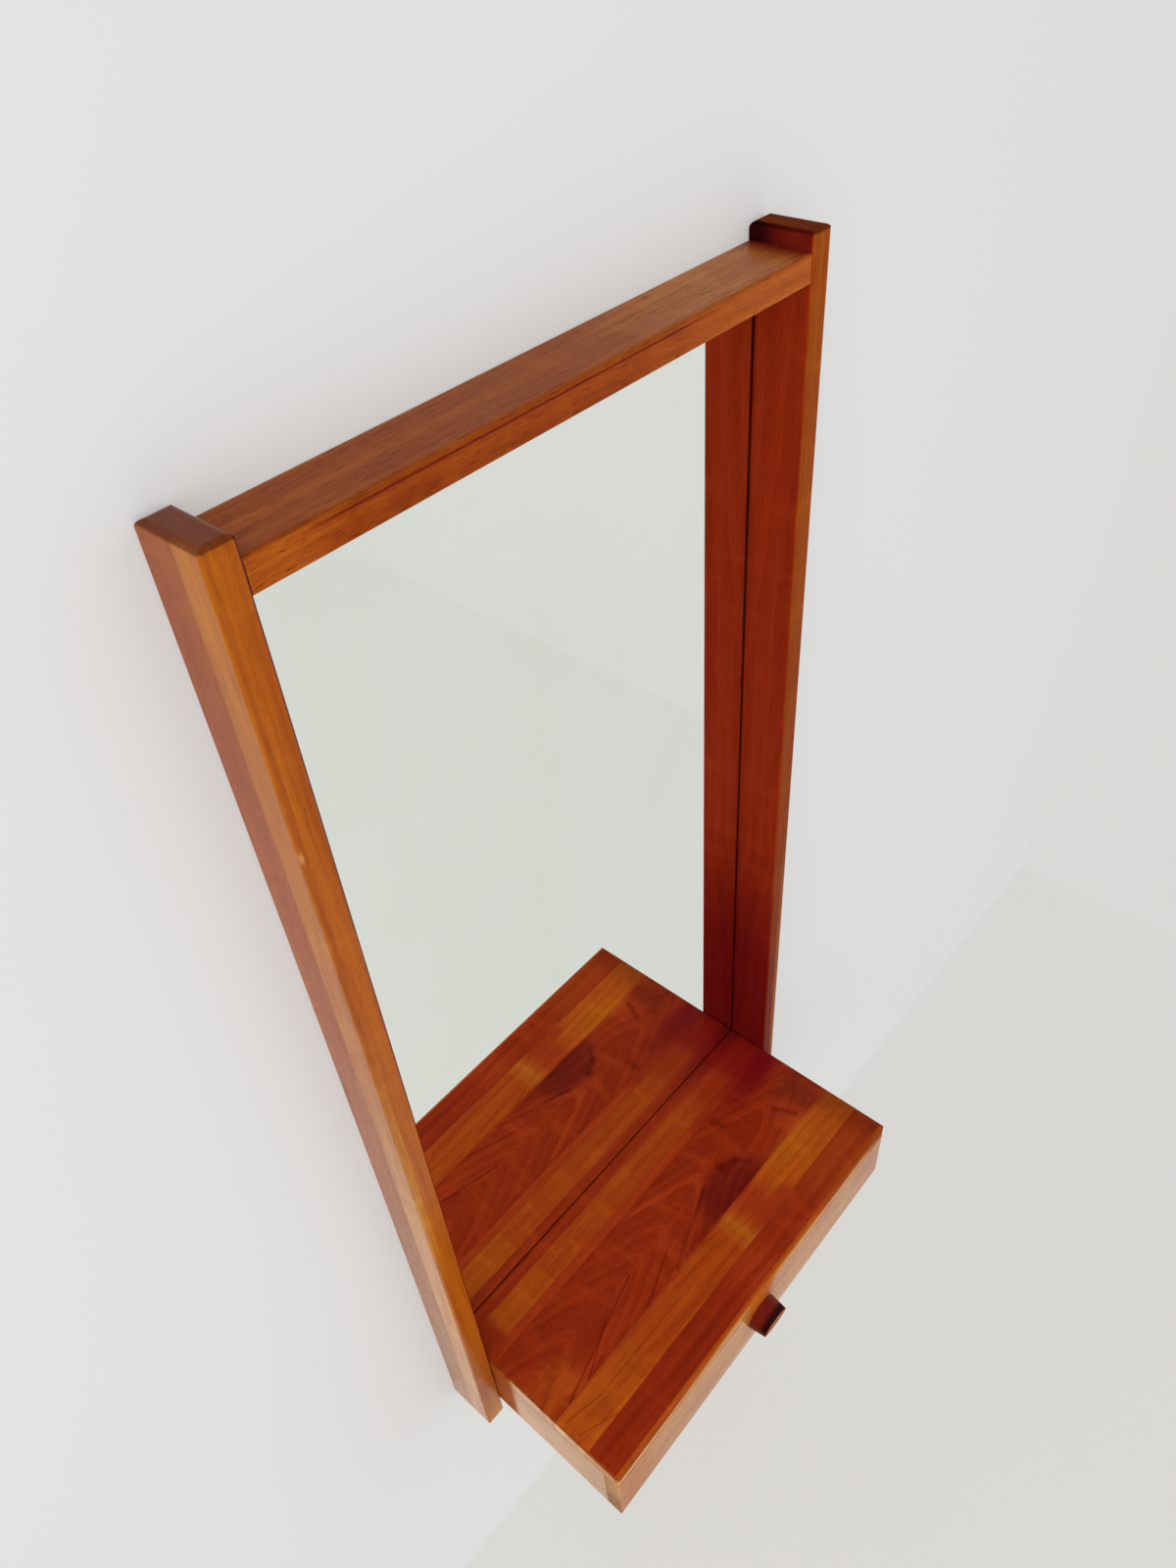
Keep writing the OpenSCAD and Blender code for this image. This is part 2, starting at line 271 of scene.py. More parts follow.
def distance_to_line(s, x, y, start, end):
    """Distance in a plane from the place (x, y) to the straight line between two points."""
    run = (end[0] - start[0], end[1] - start[1])
    length_squared = run[0] ** 2 + run[1] ** 2
    from_x = s.math("SUBTRACT", x, start[0])
    from_y = s.math("SUBTRACT", y, start[1])
    dot = s.math("ADD", s.math("MULTIPLY", from_x, run[0]), s.math("MULTIPLY", from_y, run[1]))
    share = s.math("DIVIDE", dot, length_squared, clamp=True)
    off_x = s.math("SUBTRACT", from_x, s.math("MULTIPLY", share, run[0]))
    off_y = s.math("SUBTRACT", from_y, s.math("MULTIPLY", share, run[1]))
    return s.length(off_x, off_y)


def box_mask(s, places, limits, softness):
    """1 inside the limits on each axis and 0 outside; None leaves an axis free.

    softness is how far the fade at a limit reaches to both sides of it, on each axis.
    """
    inside = None
    for place, pair, soft in zip(places, limits, softness):
        if pair is None:
            continue
        start, end = pair
        lower = s.fade(place, start - soft, start + soft)
        upper = s.fade(place, end + soft, end - soft)
        part = s.math("MULTIPLY", lower, upper)
        inside = part if inside is None else s.math("MULTIPLY", inside, part)
    return inside


def stave_values(s, place, low, high, staves):
    """Colour, shift, figure, centre and lean of the stave at a place across the board.

    Two stepped ramps hold them, one with the shift as its alpha, one with the other numbers.
    """
    span = high - low
    position = s.math("DIVIDE", s.math("SUBTRACT", place, low), span, clamp=True)
    tones = []
    figures = []
    limits = [low] + [stave.limit for stave in staves[:-1]]
    for index, (limit, stave) in enumerate(zip(limits, staves)):
        start = min(max((limit - low) / span, 0.0), 1.0)
        shift = (SHIFT_STEP * index + FIRST_SHIFT) % 1.0
        tones.append((start, stave.colour[:3] + (shift,)))
        figures.append((start, (stave.figure, stave.centre / CENTRE_RANGE + 0.5,
                                stave.lean / LEAN_RANGE + 0.5, 1.0)))
    colour, shift = s.steps(position, tones)
    stored, _ = s.steps(position, figures)
    figure, centre, lean = s.split(stored)
    centre = s.math("MULTIPLY", s.math("SUBTRACT", centre, 0.5), CENTRE_RANGE)
    lean = s.math("MULTIPLY", s.math("SUBTRACT", lean, 0.5), LEAN_RANGE)
    return colour, s.math("MULTIPLY", shift, SHIFT_RANGE), figure, centre, lean


def wandering(s, moved):
    """How far growth rings bend in long waves and ripple in short ones."""
    bend = s.noise(moved, BEND)
    ripple = s.noise(moved, RIPPLE)
    bend = s.math("MULTIPLY", s.math("SUBTRACT", bend, 0.5), BEND_DEPTH)
    ripple = s.math("MULTIPLY", s.math("SUBTRACT", ripple, 0.5), RIPPLE_DEPTH)
    return bend, ripple


def rings(s, radius, gap, start, full, fall):
    """Growth rings that darken outwards from start to full, and end sharply after fall."""
    ring = s.math("FRACT", s.math("DIVIDE", radius, gap))
    return s.math("MULTIPLY", s.fade(ring, start, full), s.fade(ring, 1.0, fall))


def knot_strength(s, places, knot, waves):
    """1 in the middle of a knot, falling to 0 at its wavy outline."""
    from_x = s.math("MULTIPLY", s.math("SUBTRACT", places[0], knot.x), KNOT_SHORTENING)
    from_y = s.math("SUBTRACT", places[1], knot.y)
    away = s.math("ADD", s.length(from_x, from_y), waves)
    return s.fade(away, knot.radius, 0.0)


def knot_colour(s, colour, places, knot, knot_shade, streak, late_wood):
    """The colour, darkened inside the knot as far as its own stave reaches."""
    depth = s.math("ADD", s.math("MULTIPLY", streak, 0.4), s.math("MULTIPLY", late_wood, 0.25))
    depth = s.math("ADD", depth, 0.42)
    depth = s.math("MULTIPLY", depth, box_mask(s, places, (None, knot.limits, None), CRISP))
    return s.cover(colour, KNOT_RED, s.fade(knot_shade, 0.02, 0.85), depth)


def marked(s, colour, places, marks):
    """The colour with darker lines drawn on it."""
    for start, end, width, strength in marks:
        off_mark = distance_to_line(s, places[0], places[1], start, end)
        mark = s.math("MULTIPLY", s.fade(off_mark, width, width * 0.2), strength)
        colour = s.tint(mark, colour, MARK)
    return colour


def worn_and_lit_edges(s, low, high):
    """1 where the edges of a piece are lightened: partly rubbed, partly painted light on the
    rounded edges.
    """
    edge = edge_distance(s, low, high)
    worn_and_lit_noise = s.noise(s.place, WORN_AND_LIT_PATCHES, detail=3.0, roughness=0.6)
    return s.math("MULTIPLY", s.fade(edge, WORN_AND_LIT_WIDTH, WORN_AND_LIT_WIDTH * 0.25), s.fade(worn_and_lit_noise, 0.25, 0.6))


def lacquer_roughness(s, moved, places, gloss, rougher, dulled):
    """How rough the lacquer is: more where it was handled, over open grain and where worn."""
    handled = s.noise(moved, HANDLING, detail=3.0, roughness=0.6)
    roughness = s.fade(handled, 0.3, 0.75, gloss, gloss + 0.1)
    for mask, added in rougher:
        roughness = s.math("ADD", roughness, s.math("MULTIPLY", mask, added))
    for *limits, softness, added in dulled:
        inside = box_mask(s, places, limits, softness)
        roughness = s.math("ADD", roughness, s.math("MULTIPLY", inside, added))
    return roughness


def hardwood(name, piece, grain, across, staves, gap=0.005, streaks=0.4, gloss=0.15,
             reflection=1.22, end_shade=SOFT_END, pore_depth=0.35, patches=(), marks=(),
             dulled=(), knot=None, seed=0.0, edge_wear_and_light=0.5, shimmering=0.3, relief_strength=0.35):
    """A lacquered tropical hardwood, glued up from staves, perhaps with a knot.

    grain is the axis along the grain, and across the one across the staves.
    gap is the spacing of the growth rings, and end_shade what end grain does to the colour.
    patches are (x limits, y limits, z limits, softness, colour), laid one over the other.
    dulled are (x limits, y limits, z limits, softness, added roughness), where lacquer is worn.
    marks are (start, end, width, strength), darker lines drawn on a board that lies flat.
    """
    s = Shader(name)
    low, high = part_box(piece)
    places = s.split(s.place)
    wide, deep, along, end = grain_space(s, grain)
    axis = "XYZ".index(across)
    colour, shift, figure, centre, lean = stave_values(
        s, places[axis], low[axis], high[axis], staves)
    shift = s.math("ADD", shift, seed)
    moved = s.join(s.math("ADD", wide, shift), deep, along)

    # Growth rings that drift along the grain, which gives the pointed figure
    bend, ripple = wandering(s, moved)
    off_centre = s.math("ADD", s.math("SUBTRACT", wide, centre), bend)
    radius = s.length(off_centre, RING_DEPTH)
    radius = s.math("ADD", radius, s.math("MULTIPLY", along, lean))
    radius = s.math("ADD", radius, s.math("ADD", ripple, s.math("MULTIPLY", deep, RING_TILT)))
    if knot:
        knot_shade = knot_strength(s, places, knot, s.math("ADD", bend, ripple))
        radius = s.math("ADD", radius, s.math("MULTIPLY", knot_shade, knot.push))
    late_wood = rings(s, radius, gap, 0.1, 0.8, 0.8)
    fine_wood = rings(s, radius, gap * FINE_RING, 0.0, 0.6, 0.7)
    if knot:
        calm = s.fade(knot_shade, 0.35, 0.02, 0.3, 1.0)
        late_wood = s.math("MULTIPLY", late_wood, calm)
        fine_wood = s.math("MULTIPLY", fine_wood, calm)
    broad = s.noise(s.join(radius, shift, along), BROAD_RINGS)

    # Long streaks, fine fibres, the short dark dashes of the pores, and soft cross shimmer
    streak = s.noise(moved, STREAKS, detail=3.0, roughness=0.6)
    fibre = s.noise(moved, FIBRES, roughness=0.65)
    pore = s.fade(s.noise(moved, PORES, detail=1.0), 0.58, 0.68)
    cloud = s.noise(moved, CLOUDS)
    shimmer = s.noise(moved, SHIMMER, distortion=0.6)

    for *limits, softness, patch in patches:
        colour = s.mix(box_mask(s, places, limits, softness), colour, patch)
    dark = s.times(colour, LATE_WOOD)
    light = s.times(colour, EARLY_WOOD)
    layers = [(late_wood, figure, dark),
              (s.math("MULTIPLY", fine_wood, figure), 0.7, dark),
              (s.fade(broad, 0.5, 0.68), figure, dark),
              (s.fade(broad, 0.5, 0.34), figure, light),
              (s.fade(streak, 0.52, 0.72), streaks, dark),
              (s.fade(streak, 0.46, 0.28), streaks, light),
              (s.fade(cloud, 0.5, 0.78), 0.3, dark),
              (s.fade(shimmer, 0.5, 0.3), shimmering, light),
              (s.fade(fibre, 0.45, 0.75), 0.35, dark)]
    for mask, strength, shade in layers:
        colour = s.cover(colour, shade, mask, strength)
    colour = s.tint(s.math("MULTIPLY", pore, pore_depth), colour, PORE)
    if knot:
        colour = knot_colour(s, colour, places, knot, knot_shade, streak, late_wood)
    colour = marked(s, colour, places, marks)

    # Glue lines between staves
    for stave in staves[:-1]:
        off_line = s.math("ABSOLUTE", s.math("SUBTRACT", places[axis], stave.limit))
        glued = s.fade(off_line, HALF_GLUE_LINE * 1.6, HALF_GLUE_LINE * 0.4)
        colour = s.cover(colour, dark, glued, 0.5)

    # End grain drinks more finish, so it is darker and duller, also where an end is rounded
    end_grain = s.fade(end, 0.15, 0.5)
    colour = s.tint(end_grain, colour, end_shade)
    # Edges lightened in patches: partly wear, partly painted light where the rounded edges catch
    # the room's light
    colour = s.tint(s.math("MULTIPLY", worn_and_lit_edges(s, low, high), edge_wear_and_light), colour, WORN_AND_LIT_EDGE)

    rougher = [(pore, 0.08), (end_grain, 0.18)]
    roughness = lacquer_roughness(s, moved, places, gloss, rougher, dulled)
    relief = s.math("SUBTRACT", s.math("MULTIPLY", fibre, 0.5), s.math("MULTIPLY", pore, 0.6))
    relief = s.math("SUBTRACT", relief, s.math("MULTIPLY", late_wood, 0.12))
    return s.finish(Base_Color=colour, Roughness=roughness, IOR=reflection,
                    Specular_Tint=LACQUER_TINT,
                    Normal=s.bump(relief, relief_strength, RELIEF_DEPTH))


# ---------------------------------------------------------------- pale wood of the drawer box
# How often a feature repeats per metre: across the grain, down into the wood and along the grain
PALE_BEND = (14.0, 14.0, 2.5)
PALE_FIBRES = (900.0, 900.0, 30.0)
PALE_PORES = (1700.0, 1700.0, 90.0)
GRIME = (40.0, 40.0, 40.0)

# Where the growth rings are centred, across the grain and far below the face, how far they bend,
# and the depth of pores and fibres
PALE_CENTRE = 0.05
PALE_DEPTH = 0.9
PALE_BEND_DEPTH = 0.02
PALE_RELIEF_DEPTH = 0.00015


def plain_wood(name, piece, grain, colour, ring_colour, gap=0.004, gloss=0.45, seed=0.0):
    """A pale secondary wood with a thin finish, for parts that stay out of sight."""
    s = Shader(name)
    low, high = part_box(piece)
    wide, deep, along, end = grain_space(s, grain)
    moved = s.join(s.math("ADD", wide, seed), deep, along)
    bend = s.noise(moved, PALE_BEND)
    radius = s.length(s.math("ADD", wide, PALE_CENTRE), s.math("ADD", deep, PALE_DEPTH))
    radius = s.math("ADD", radius, s.math("MULTIPLY", bend, PALE_BEND_DEPTH))
    late_wood = rings(s, radius, gap, 0.2, 0.85, 0.88)
    fibre = s.noise(moved, PALE_FIBRES, roughness=0.6)
    pore = s.fade(s.noise(moved, PALE_PORES, detail=1.0), 0.6, 0.7)
    end_grain = s.fade(end, 0.55, 0.9)
    edge = edge_distance(s, low, high)
    grime = s.noise(s.place, GRIME, detail=3.0)
    worn = s.math("MULTIPLY", s.fade(edge, 0.002, 0.0002), s.fade(grime, 0.35, 0.7))
    layers = [(late_wood, 0.6, ring_colour),
              (s.fade(fibre, 0.4, 0.8), 0.5, ring_colour),
              (pore, 0.5, scaled(ring_colour, 0.5)),
              (end_grain, 0.75, scaled(ring_colour, 0.7)),
              (worn, 0.4, scaled(ring_colour, 0.6))]
    for mask, strength, shade in layers:
        colour = s.cover(colour, shade, mask, strength)
    roughness = s.fade(fibre, 0.3, 0.8, gloss, gloss + 0.2)
    relief = s.math("SUBTRACT", fibre, s.math("MULTIPLY", pore, 0.7))
    return s.finish(Base_Color=colour, Roughness=roughness, IOR=1.4,
                    Normal=s.bump(relief, 0.4, PALE_RELIEF_DEPTH))


# ---------------------------------------------------------------- colours of the woods
# The red hardwood, from its lightest zones to its darkest
CREAM = linear(230, 182, 134)
GOLD = linear(211, 148, 88)
PEACH = linear(206, 137, 70)
OCHRE = linear(191, 131, 76)
AMBER = linear(197, 124, 42)
COPPER = linear(190, 110, 40)
BRONZE = linear(177, 113, 58)
MARIGOLD = linear(198, 100, 18)
SAND = linear(186, 106, 24)
TANGERINE = linear(196, 90, 20)
APRICOT = linear(186, 94, 24)
TAWNY = linear(180, 91, 16)
FAWN = linear(168, 98, 38)
ORANGE = linear(188, 84, 20)
HONEY = linear(182, 74, 19)
RUSSET = linear(166, 80, 17)
PAPRIKA = linear(172, 65, 18)
COPPER_RED = linear(176, 60, 20)
AUBURN = linear(162, 71, 12)
CEDAR = linear(170, 54, 19)
UMBER = linear(149, 72, 19)
CHESTNUT = linear(150, 64, 12)
RED_BROWN = linear(163, 50, 18)
BRICK = linear(156, 46, 17)
HENNA = linear(146, 50, 14)
SIENNA = linear(143, 44, 18)
CARMINE = linear(150, 30, 20)
COFFEE = linear(118, 50, 24)
ROSEWOOD = linear(138, 22, 23)
GARNET = linear(128, 25, 17)
MAHOGANY = linear(118, 28, 15)
WINE = linear(118, 19, 17)
CRIMSON = linear(116, 18, 22)
KNOT_RED = linear(86, 8, 17)
EBONY = linear(46, 7, 11)

# The pale woods of the drawer box and of the dowels, and the late wood in their growth rings
PALE_WOOD = linear(214, 186, 146)
PALE_WOOD_LATE = linear(184, 148, 106)
RAMIN = linear(216, 194, 158)
RAMIN_LATE = linear(190, 162, 122)

# ---------------------------------------------------------------- places for patches of colour
# Far enough from the wall mirror that a soft limit there doesn't reach it
BEYOND = 2.0


def up_to(limit):
    """Limits on an axis, from beyond the object up to one place."""
    return (-BEYOND, limit)


def past(limit):
    """Limits on an axis, from one place on to beyond the object."""
    return (limit, BEYOND)


stile_low, stile_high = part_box("left_stile")
right_stile_low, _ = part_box("right_stile")
_, rail_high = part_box("top_rail")
shelf_low, shelf_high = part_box("shelf_board")
pull_low, pull_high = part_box("drawer_pull")

# Faces and rounded edges of the stiles and the rail
STILE_GLUE_LINE = -0.0265
FRONT_STRIP = (stile_low.y + 0.0014, STILE_GLUE_LINE)
BACK_STRIP = past(STILE_GLUE_LINE)
LEFT_OUTER = up_to(stile_low.x + 0.0014)
LEFT_INNER_ARRIS = past(stile_high.x - 0.0015)
RIGHT_INNER = up_to(right_stile_low.x + 0.0007)
RIGHT_INNER_ARRIS = up_to(right_stile_low.x + 0.0017)
FRAME_FRONT = up_to(stile_low.y + 0.0015)
BEHIND_FRONT = past(stile_low.y + 0.0015)
STILE_TOP = past(stile_high.z - 0.0015)
RAIL_TOP = past(rail_high.z - 0.0005)
BELOW_RAIL_TOP = up_to(rail_high.z - 0.0005)

# Faces and rounded edges of the shelf board and the drawer case below it
LEFT_END = up_to(shelf_low.x + 0.0017)
# Beside the left stile, where a painted shade stands for the stile's shadow and reflection
BESIDE_STILE = past(stile_low.y - 0.024)
SHELF_FRONT = up_to(shelf_low.y + 0.0027)
SHELF_FRONT_ARRIS = (shelf_low.y + 0.0005, shelf_low.y + 0.0035)
SHELF_RIGHT_ARRIS = past(shelf_high.x - 0.0011)
SHELF_ARRIS = past(shelf_high.z - 0.0015)
SHELF_EDGE = up_to(shelf_high.z - 0.0015)
SHELF_HIGH_EDGE = (shelf_high.z - 0.0080, shelf_high.z - 0.0015)
SHELF_LOW_EDGE = up_to(shelf_high.z - 0.0082)
# Around and above the pull, where a painted reflection of the pull takes the place of the lacquer's
# sheen
ROUND_PULL = (pull_low.x - 0.002, pull_high.x + 0.001)
ABOVE_PULL = past(pull_high.z - 0.008)
PULL_FRONT = up_to(pull_low.y + 0.0065)

# Glue lines of the shelf board, from the front to the wall, and the staves between them
GLUE_LINES = (-0.160, -0.124, -0.052, -0.043, -0.018)
FRONT_STAVE = up_to(GLUE_LINES[0])
SECOND_STAVE = GLUE_LINES[0:2]
THIRD_STAVE = GLUE_LINES[1:3]
THIN_STAVE = GLUE_LINES[2:4]
FOURTH_STAVE = GLUE_LINES[3:5]
SHELF_STAVES = [
    Stave(GLUE_LINES[0], RED_BROWN, figure=0.4, centre=-0.30, lean=0.03),
    Stave(GLUE_LINES[1], HONEY, figure=0.4, centre=-0.19, lean=0.08),
    Stave(GLUE_LINES[2], CEDAR, figure=0.6, centre=-0.086, lean=0.30),
    Stave(GLUE_LINES[3], COPPER_RED, figure=0.25, centre=0.05, lean=0.02),
    Stave(GLUE_LINES[4], HONEY, figure=0.25, centre=0.05, lean=0.02),
    Stave(None, CEDAR, figure=0.3, centre=0.1, lean=0.02),
]


def dress(piece, material):
    """Gives a piece its material."""
    nodes[piece].data.materials[0] = material


def dress_frame():
    """The stiles and the top rail."""
    dress("left_stile", hardwood(
        "lacquered_wood_left_stile", "left_stile", "Z", "Y",
        [Stave(STILE_GLUE_LINE, TAWNY, figure=0.3, centre=-0.4, lean=0.03),
         Stave(None, RUSSET, figure=0.25, centre=0.3, lean=0.02)],
        streaks=0.4, reflection=1.28, end_shade=DARK_END, edge_wear_and_light=0.12, seed=1.3,
        patches=[(LEFT_OUTER, FRONT_STRIP, None, CRISP, SAND),
                 # Painted sheen: the outer face is made paler low down, where the lacquer mirrors
                 # more of the room
                 (LEFT_OUTER, FRONT_STRIP, up_to(-0.37), (0.0005, 0.0005, 0.25), GOLD),
                 (LEFT_OUTER, BACK_STRIP, up_to(-0.42), (0.0005, 0.0005, 0.25), BRONZE),
                 ((-0.2240, -0.2205), FRAME_FRONT, (-0.22, 0.1), (0.0008, 0.0006, 0.12), RUSSET),
                 ((-0.2250, -0.2195), FRAME_FRONT, (-0.50, -0.30), (0.0008, 0.0006, 0.08), AMBER),
                 # Painted shade on the rounded inner front edge, which turns away into the recess
                 (LEFT_INNER_ARRIS, FRAME_FRONT, None, (0.0003, 0.0006, 0.0), CRIMSON),
                 (past(-0.2240), FRAME_FRONT, up_to(-0.785), (0.0005, 0.0005, 0.03), AMBER),
                 (up_to(-0.2228), FRAME_FRONT, (-0.088, -0.082), (0.0004, 0.0006, 0.003), PEACH)],
        dulled=[(past(-0.2240), FRAME_FRONT, up_to(-0.78), (0.0005, 0.0005, 0.03), 0.12)]))
    dress("right_stile", hardwood(
        "lacquered_wood_right_stile", "right_stile", "Z", "Y",
        [Stave(None, RUSSET, figure=0.3, centre=0.45, lean=0.02)],
        streaks=0.4, reflection=1.07, end_shade=DARK_END, edge_wear_and_light=0.25, seed=4.1,
        patches=[(None, FRAME_FRONT, up_to(-0.42), (0.0, 0.0005, 0.4), MAHOGANY),
                 # Painted highlight along the rounded outer front edge, low down
                 (past(0.2185), FRAME_FRONT, up_to(-0.48), (0.004, 0.0005, 0.2), FAWN),
                 # Painted shade: the inner face, facing into the recess, is darker, and darker
                 # still low down
                 (RIGHT_INNER, None, None, CRISP, BRICK),
                 (RIGHT_INNER, None, up_to(-0.50), (0.0005, 0.0, 0.11), WINE),
                 # Painted shade on the inner face and its rounded edge above the rail, darkest near
                 # the wall
                 (RIGHT_INNER_ARRIS, BEHIND_FRONT, RAIL_TOP, CRISP, MAHOGANY),
                 (RIGHT_INNER_ARRIS, past(-0.018), RAIL_TOP, (0.0005, 0.012, 0.0005), EBONY)],
        dulled=[(None, None, STILE_TOP, (0.0, 0.0, 0.001), 0.3)]))
    dress("top_rail", hardwood(
        "lacquered_wood_top_rail", "top_rail", "X", "Y",
        [Stave(None, UMBER, figure=0.25, centre=0.2, lean=0.03)],
        streaks=0.6, gloss=0.24, reflection=1.17, pore_depth=0.6, edge_wear_and_light=0.1, seed=7.7,
        # Painted highlight: the top of the rail is lighter towards the right, where its lacquer
        # mirrors the pale wall
        patches=[(past(0.07), None, RAIL_TOP, (0.06, 0.0, 0.0005), FAWN),
                 # Painted reflection and shade of the right stile's dark inner face, at the right
                 # end of the rail's top
                 (past(0.196), None, RAIL_TOP, (0.012, 0.0, 0.0005), MAHOGANY),
                 (None, FRAME_FRONT, BELOW_RAIL_TOP, CRISP, AUBURN),
                 (up_to(-0.165), FRAME_FRONT, BELOW_RAIL_TOP, (0.015, 0.0005, 0.0005), APRICOT),
                 (past(0.11), FRAME_FRONT, BELOW_RAIL_TOP, (0.07, 0.0005, 0.0005), APRICOT),
                 ((-0.17, 0.10), FRAME_FRONT, (0.0709, 0.0722), (0.02, 0.0005, 0.0006), MAHOGANY)]))


def dress_shelf():
    """The shelf board with its glued staves, its knot and its marks."""
    dress("shelf_board", hardwood(
        "lacquered_wood_shelf", "shelf_board", "X", "Y", SHELF_STAVES,
        gap=0.0100, streaks=0.45, gloss=0.14, reflection=1.18, end_shade=PLAIN_END, edge_wear_and_light=0.04,
        knot=Knot(x=0.058, y=-0.114, radius=0.043, push=0.012, limits=THIRD_STAVE),
        shimmering=0.45, seed=2.2,
        patches=[((-0.181, -0.118), FOURTH_STAVE, None, CRISP, ORANGE),
                 (up_to(-0.181), FOURTH_STAVE, None, (0.006, 0.0005, 0.0), BRICK),
                 (up_to(-0.12), SECOND_STAVE, None, (0.03, 0.0005, 0.0), ORANGE),
                 (past(0.034), SECOND_STAVE, None, (0.006, 0.0005, 0.0), ORANGE),
                 ((0.088, 0.125), SECOND_STAVE, None, (0.014, 0.0005, 0.0), TANGERINE),
                 ((0.105, 0.165), (-0.145, -0.124), None, (0.020, 0.008, 0.0), MARIGOLD),
                 ((0.021, 0.034), SECOND_STAVE, None, (0.007, 0.0008, 0.0), APRICOT),
                 ((0.042, 0.076), SECOND_STAVE, None, (0.012, 0.0008, 0.0), COPPER_RED),
                 ((0.072, 0.094), (-0.160, -0.149), None, (0.012, 0.004, 0.0), COPPER_RED),
                 (past(0.186), SECOND_STAVE, None, (0.014, 0.0008, 0.0), CHESTNUT),
                 (up_to(-0.165), (-0.123, -0.09), None, (0.02, 0.010, 0.0), HONEY),
                 ((-0.015, 0.09), (-0.124, -0.114), None, (0.02, 0.005, 0.0), BRICK),
                 (past(0.168), (-0.124, -0.08), None, (0.014, 0.01, 0.0), SIENNA),
                 (up_to(-0.05), FRONT_STAVE, None, (0.03, 0.0005, 0.0), BRICK),
                 ((-0.015, 0.03), FRONT_STAVE, None, (0.015, 0.0005, 0.0), COPPER_RED),
                 (past(0.105), FRONT_STAVE, None, (0.03, 0.0005, 0.0), PAPRIKA),
                 (past(0.184), FRONT_STAVE, None, (0.014, 0.0005, 0.0), HENNA),
                 (past(0.13), past(-0.072), None, (0.05, 0.010, 0.0), ROSEWOOD),
                 (past(0.192), past(-0.050), None, (0.02, 0.02, 0.0), CRIMSON),
                 ((0.12, 0.16), FOURTH_STAVE, None, (0.02, 0.001, 0.0), CEDAR),
                 (past(0.16), FOURTH_STAVE, None, (0.02, 0.001, 0.0), CARMINE),
                 ((0.08, 0.14), THIN_STAVE, None, (0.02, 0.001, 0.0), BRICK),
                 # The patches on SHELF_FRONT and SHELF_FRONT_ARRIS are painted light: the front
                 # face and its rounded front arris get lighter, more orange tones than the top
                 # where the room lights them, and a paler painted sheen low on the front face
                 (None, SHELF_FRONT_ARRIS, None, CRISP, ORANGE),
                 (past(0.130), SHELF_FRONT_ARRIS, None, (0.03, 0.0015, 0.0), AUBURN),
                 (LEFT_END, None, SHELF_ARRIS, CRISP, UMBER),
                 (SHELF_RIGHT_ARRIS, None, None, CRISP, MAHOGANY),
                 (None, SHELF_FRONT, SHELF_EDGE, CRISP, ORANGE),
                 (up_to(-0.15), SHELF_FRONT, SHELF_EDGE, (0.04, 0.0005, 0.0005), RUSSET),
                 (past(0.11), SHELF_FRONT, SHELF_EDGE, (0.03, 0.0005, 0.0005), RUSSET),
                 ((-0.09, 0.07), SHELF_FRONT, SHELF_EDGE, (0.05, 0.0005, 0.0005), AMBER),
                 ((-0.07, -0.03), SHELF_FRONT, SHELF_EDGE, (0.02, 0.0005, 0.0005), PEACH),
                 (None, SHELF_FRONT, SHELF_LOW_EDGE, (0.0, 0.0005, 0.0015), GOLD),
                 # Painted reflection: where the pull hides the room's reflection, the front shows
                 # orange instead of sheen
                 (ROUND_PULL, SHELF_FRONT, SHELF_EDGE, (0.010, 0.0005, 0.0005), MARIGOLD),
                 (past(0.18), SHELF_FRONT, SHELF_EDGE, (0.02, 0.0005, 0.0005), RUSSET),
                 (LEFT_END, up_to(-0.071), SHELF_EDGE, (0.0005, 0.005, 0.0005), CREAM),
                 (LEFT_END, up_to(-0.155), SHELF_EDGE, (0.0005, 0.02, 0.0005), OCHRE),
                 # Painted shade and reflection of the left stile, on the end beside it
                 (LEFT_END, BESIDE_STILE, SHELF_EDGE, (0.0005, 0.005, 0.0005), TAWNY)],
        dulled=[(None, SHELF_FRONT, SHELF_HIGH_EDGE, (0.0, 0.0005, 0.0012), 0.8),
                (past(0.18), SHELF_FRONT, None, (0.02, 0.0005, 0.0), 0.4),
                (ROUND_PULL, SHELF_FRONT, None, (0.010, 0.0005, 0.0), 0.4),
                (LEFT_END, BESIDE_STILE, None, (0.0005, 0.005, 0.0), 0.5)],
        marks=[((0.154, -0.096), (0.163, -0.116), 0.0046, 0.7),
               ((0.104, -0.056), (0.105, -0.066), 0.006, 0.5),
               ((-0.187, -0.123), (-0.070, -0.092), 0.0016, 0.7),
               ((-0.162, -0.123), (-0.112, -0.100), 0.0014, 0.6),
               ((-0.082, -0.123), (-0.030, -0.104), 0.0016, 0.6),
               ((-0.038, -0.122), (0.040, -0.094), 0.0034, 0.7),
               ((0.054, -0.092), (0.080, -0.085), 0.0060, 0.3),
               ((0.066, -0.092), (0.083, -0.099), 0.0050, 0.6),
               ((0.083, -0.099), (0.091, -0.111), 0.0050, 0.5),
               ((-0.200, -0.131), (-0.165, -0.139), 0.0012, 0.6),
               ((-0.165, -0.139), (-0.060, -0.140), 0.0012, 0.5),
               ((-0.200, -0.146), (-0.168, -0.159), 0.0012, 0.5),
               ((-0.030, -0.170), (0.050, -0.188), 0.0022, 0.25)]))


